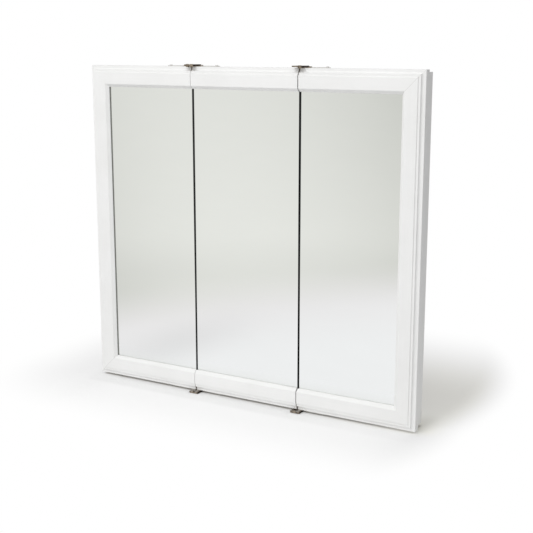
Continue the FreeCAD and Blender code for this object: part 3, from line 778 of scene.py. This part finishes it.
# %% Plate the metal
sideways_lines = (300.0, 2600.0, 2600.0)
upright_lines = (2200.0, 2200.0, 240.0)
even_lines = (1500.0, 1500.0, 1500.0)
platings = {
    "hinge_nickel": ((0.60, 0.59, 0.56, 1.0), (0.80, 0.79, 0.77, 1.0), 0.20, sideways_lines),
    "bright_steel": ((0.47, 0.475, 0.47, 1.0), (0.62, 0.625, 0.625, 1.0), 0.22, upright_lines),
    "screw_steel": ((0.36, 0.35, 0.32, 1.0), (0.58, 0.575, 0.55, 1.0), 0.26, even_lines),
}
strap_polish = 0.16

for slot_name, row in platings.items():
    held = [name for name in nodes if slot_of[name] == slot_name]
    print(slot_name, dress(held, plated(slot_name, *row)))
straps = [name for name in nodes if "hinge_strap" in name]
strap_plating = plated("strap_nickel", strap_brown_and_dark_reflection, strap_bright, strap_polish, sideways_lines)
print("straps", dress(straps, strap_plating))

# %% [markdown]
# ## Catch, magnet and bumpers
# The catches are small white mouldings round a dark ferrite block, and soft clear dots keep the doors
# from knocking. Moulded plastic has a spark-eroded grain, ferrite is a matt black ceramic with grey
# flecks, and the dots are milky and half glossy. They differ only in colour, grain and gloss, so one
# function serves all three. Each row holds the darker and the lighter colour, the scale of the grain, how
# matt the part is and how deep the grain goes.

# %% Mould the small parts
grain_edge = (0.36, 0.64)
cloud_size = 12.0
small_parts = {
    "catch_plastic": ((0.80, 0.80, 0.78, 1.0), (0.85, 0.85, 0.83, 1.0), 2400.0, 0.36, 0.03 * MM),
    "catch_magnet": ((0.030, 0.030, 0.034, 1.0), (0.085, 0.085, 0.09, 1.0), 1800.0, 0.55, 0.05 * MM),
    "bumper_rubber": ((0.66, 0.67, 0.665, 1.0), (0.76, 0.77, 0.765, 1.0), 900.0, 0.18, 0.01 * MM),
}


def moulded(name, low, high, scale, matt, depth):
    plastic = Recipe(bpy.data.materials.new(name))
    place = plastic.place()
    eroded = plastic.speckle(place, scale, detail=3.0, roughness=0.6)
    cloud = plastic.speckle(place, scale / cloud_size, detail=2.0)
    plastic.surface(
        base_color=plastic.colour(plastic.ramp(0.5 * eroded + 0.5 * cloud, *grain_edge), low, high),
        roughness=matt + 0.14 * eroded,
        normal=plastic.bumped(eroded, depth, strength=0.5),
    )
    return plastic.owner


for slot_name, row in small_parts.items():
    held = [name for name in nodes if slot_of[name] == slot_name]
    print(slot_name, dress(held, moulded(slot_name, *row)))

# %% [markdown]
# ## The mirrors
# A mirror is clear glass with silver on its back, so what we see is the silver, lying below the lip of
# the moulding. Clear glass over it would cost many light bounces and adds little, so each pane here is
# modelled as the eye reads it: a silver field at the depth of the silver, and under the lip a step in the
# grey of the shaded lip. That step, and its own reflection, make the dark line along the left edge of the
# picture's first mirror. Light reaches the level steps from above, so those are pale and their line is
# faint.

# %% Steps of a pane
lip_shade = 0.4 * MM


def steps(low, sight_low, sight_high, high):
    """Where a pane changes height along one axis, without the steps that have no width."""
    places = [low]
    for place in (sight_low, sight_high, high):
        if place - places[-1] > lip_shade / 2:
            places.append(place)
    return places


print("a step lies", round(lip_shade / MM, 1), "mm under the lip")

# %% [markdown]
# The plate is cut into block-shaped cells, in two layers. The front cells inside the sight opening are
# left out, and each side of a cell with nothing beside it becomes a face, which closes the mesh. A face
# that looks into the opening is a step or the silver, by the axis it looks along, and any other is the
# bare edge of the glass. Cutting the opening out of a block would give the same plate, but not say which
# face is which.

# %% Cells of a pane
join_reach = 0.01 * MM
rear_layer = 1
silver_finish, edge_finish, side_finish, level_finish = range(4)
opening_finish = (side_finish, silver_finish, level_finish)


def pane_mesh(name, low, high, sight_low, sight_high):
    """A plate of block-shaped cells, without the front cells inside the sight opening."""
    cuts = (
        steps(low.x, sight_low.x, sight_high.x, high.x),
        [low.y, high.y - silver_cover, high.y],
        steps(low.z, sight_low.z, sight_high.z, high.z),
    )
    counts = [len(places) - 1 for places in cuts]

    def within(cell):
        return all(0 <= index < count for index, count in zip(cell, counts))

    def filled(cell):
        if not within(cell):
            return False
        column, layer, row = cell
        middle_x = (cuts[0][column] + cuts[0][column + 1]) / 2
        middle_z = (cuts[2][row] + cuts[2][row + 1]) / 2
        in_sight = sight_low.x < middle_x < sight_high.x and sight_low.z < middle_z < sight_high.z
        return layer == rear_layer or not in_sight

    shape = bmesh.new()
    for cell in itertools.product(*(range(count) for count in counts)):
        if not filled(cell):
            continue
        for axis, side in itertools.product(range(3), range(2)):
            beside = list(cell)
            beside[axis] += 2 * side - 1
            if filled(beside):
                continue
            ends = [[places[index], places[index + 1]] for places, index in zip(cuts, cell)]
            ends[axis] = [ends[axis][side]]
            first, second, third, fourth = (Vector(corner) for corner in itertools.product(*ends))
            made = shape.faces.new([shape.verts.new(corner) for corner in (first, second, fourth, third)])
            made.material_index = opening_finish[axis] if within(beside) else edge_finish
    bmesh.ops.remove_doubles(shape, verts=shape.verts, dist=join_reach)
    bmesh.ops.recalc_face_normals(shape, faces=shape.faces)
    mesh = bpy.data.meshes.new(name)
    shape.to_mesh(mesh)
    shape.free()
    return mesh


print("finishes of a pane by the axis of a face:", opening_finish, "and", edge_finish, "for the edge")

# %% [markdown]
# Silver over float glass gives back nine tenths of the light, a touch less in red and blue, which is the
# faint green that every plain mirror has. It has to stay almost perfectly sharp. Real sheets still carry
# a breath of dust and wiping marks, so the roughness moves a little, and the tint by less than a
# hundredth. Along the seams the silver is made black, in a line that widens upward.

# %% Silver the panes
silver_tint = (0.885, 0.90, 0.885, 1.0)
wiped_tint = (0.879, 0.894, 0.879, 1.0)
black_silver = (0.020, 0.022, 0.020, 1.0)
black_low = 0.04 * MM
black_high = 0.46 * MM
black_reach_height = (-0.20, 0.12)
black_reach_edge = (1.0, 0.5)
glass_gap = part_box("centre_door_mirror")[0].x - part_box("left_door_mirror")[1].x
wiping_scales = (9.0, 9.0, 30.0)
wiping_edge = (0.35, 0.7)
silver_matt = 0.012

silver = Recipe(bpy.data.materials.new("silvered_glass"))
silver_place = silver.place()
wiping = silver.streaks(silver_place, wiping_scales, detail=4.0, roughness=0.6)
clear_silver = silver.colour(silver.ramp(wiping, *wiping_edge), wiped_tint, silver_tint)
silver_x, _, silver_z = silver.axes(silver_place)
from_edge = abs(abs(silver_x) - seam_x) - glass_gap / 2
# the silver is black in a thin line along each seam, wider toward the top
black_reach = black_low + (black_high - black_low) * silver.ramp(silver_z, *black_reach_height)
blackened = silver.ramp(from_edge / black_reach, *black_reach_edge)
silver.surface(
    base_color=silver.colour(blackened, clear_silver, black_silver),
    metallic=1.0,
    roughness=silver_matt + 0.012 * wiping,
)
print("glass gap at the left seam", round(glass_gap / MM, 2), "mm")

# %% [markdown]
# The bare edge of the glass is a deep green that hardly shines. The two kinds of step take the greys that
# the lip would give them, in soft patches. All four finishes go to a pane in the order that its faces
# count on.

# %% Finish the edges and the steps
glass_deep = (0.010, 0.020, 0.016, 1.0)
glass_green = (0.024, 0.046, 0.036, 1.0)
chip_scale = 500.0
edge_matt = 0.35
edge_shine = 0.25
lip_tones = {
    "side_step": ((0.22, 0.222, 0.205, 1.0), (0.30, 0.302, 0.28, 1.0)),
    "level_step": ((0.80, 0.80, 0.79, 1.0), (0.86, 0.86, 0.85, 1.0)),
}
patch_scale = 220.0
step_matt = 0.30

edge = Recipe(bpy.data.materials.new("glass_edge"))
chips = edge.speckle(edge.place(), chip_scale, detail=3.0)
edge.surface(
    base_color=edge.colour(chips, glass_deep, glass_green),
    roughness=edge_matt + 0.20 * chips,
    specular_ior_level=edge_shine,
)
pane_finishes = [silver.owner, edge.owner]
for name, (dark, pale) in lip_tones.items():
    step = Recipe(bpy.data.materials.new(name))
    patches = step.speckle(step.place(), patch_scale, detail=3.0)
    step.surface(base_color=step.colour(patches, dark, pale), roughness=step_matt + 0.20 * patches)
    pane_finishes.append(step.owner)
print("pane finishes:", [finish.name for finish in pane_finishes])

# %% [markdown]
# Each pane fills the box of its mirror. Its sight opening ends a little under the lips of the rails above
# and below it, and on a side door also under the lip of the stile. The pane then takes the mirror's place
# and swings with its door.

# %% Set the panes
for door in ("left_door", "centre_door", "right_door"):
    low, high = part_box(door + "_mirror")
    sight_low = Vector((low.x, low.y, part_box(door + "_bottom_rail")[1].z - lip_shade))
    sight_high = Vector((high.x, high.y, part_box(door + "_top_rail")[0].z + lip_shade))
    if door == "left_door":
        sight_low.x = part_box("left_door_stile")[1].x - lip_shade
    if door == "right_door":
        sight_high.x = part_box("right_door_stile")[0].x + lip_shade
    pane_shape = pane_mesh(door + "_pane", low, high, sight_low, sight_high)
    pane = bpy.data.objects.new(door + "_pane", pane_shape)
    bpy.context.scene.collection.objects.link(pane)
    for finish in pane_finishes:
        pane.data.materials.append(finish)
    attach(pane, door)
    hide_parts(door + "_mirror")
    print(pane.name, "sight", [round(side / MM, 1) for side in (sight_high - sight_low)])
